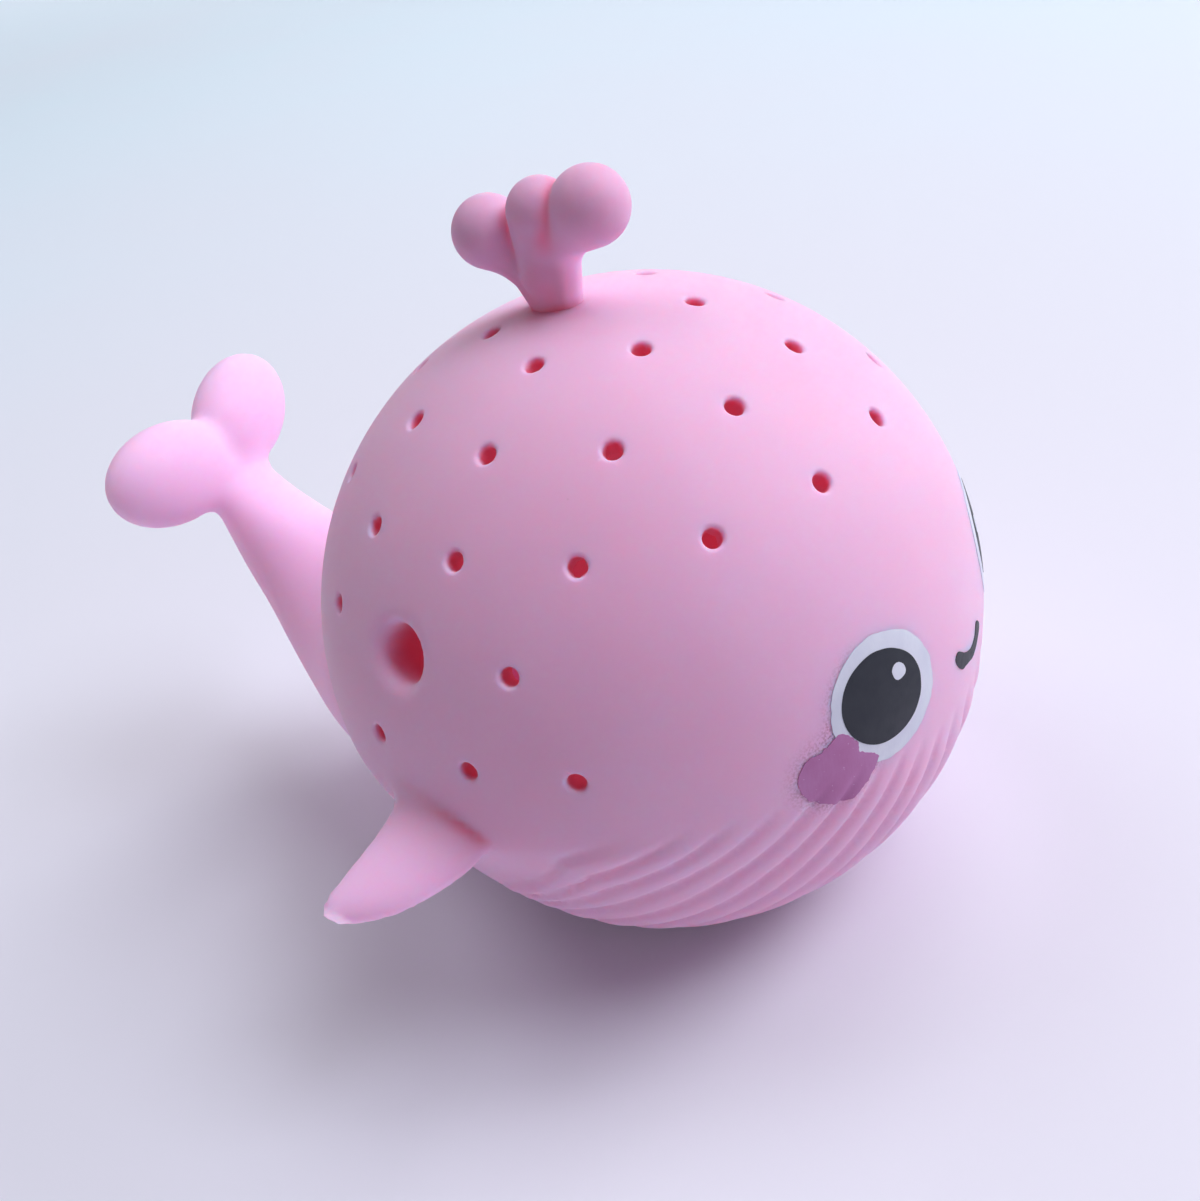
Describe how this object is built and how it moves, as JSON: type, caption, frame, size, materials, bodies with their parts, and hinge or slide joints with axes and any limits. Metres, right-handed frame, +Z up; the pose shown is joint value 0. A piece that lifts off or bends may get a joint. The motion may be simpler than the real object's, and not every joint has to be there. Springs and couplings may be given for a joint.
{
  "type": "squeaky bath toy",
  "caption": "Soft-vinyl bath whale with a hollow ball body, spray holes, upturned tail, flippers, a drop-shaped spout, a painted face and a squeaker pressed into the belly.",
  "frame": {"origin": "centre of the flat under the belly, on the plane that the toy rests on", "axes": "+X towards the whale's nose, +Y to the whale's left, +Z up"},
  "size_m": [0.1011, 0.0944, 0.0829],
  "materials": {
    "vinyl": "satin-matte soft PVC, pastel pink, slightly translucent",
    "white_paint": "matte paint film",
    "dark_paint": "matte charcoal paint film",
    "cheek_paint": "mauve paint film with fine glitter",
    "squeaker_plastic": "natural polyethylene, moulded",
    "reed_metal": "thin rolled strip"
  },
  "bodies": {
    "whale": {"body_shell": "vinyl", "tail": "vinyl", "fin_right": "vinyl", "fin_left": "vinyl", "spout": "vinyl", "squeaker_cup": "squeaker_plastic", "squeaker_lid": "squeaker_plastic", "reed_bed": "squeaker_plastic", "reed_clamp": "squeaker_plastic", "eye_white_right": "white_paint", "eye_white_left": "white_paint", "pupil_right": "dark_paint", "pupil_left": "dark_paint", "eye_glint_right": "white_paint", "eye_glint_left": "white_paint", "cheek_right": "cheek_paint", "cheek_left": "cheek_paint", "mouth": "dark_paint"},
    "reed": {"squeaker_reed": "reed_metal"}
  },
  "joints": [
    {"name": "reed_flap", "type": "hinge", "parent": "whale", "child": "reed", "pos_m": [0.0021, 0, 0.01001], "axis": [0, 1, 0], "range_deg": [-3.5, 2.5], "stiffness_Nm_per_rad": 0.0005}
  ]
}
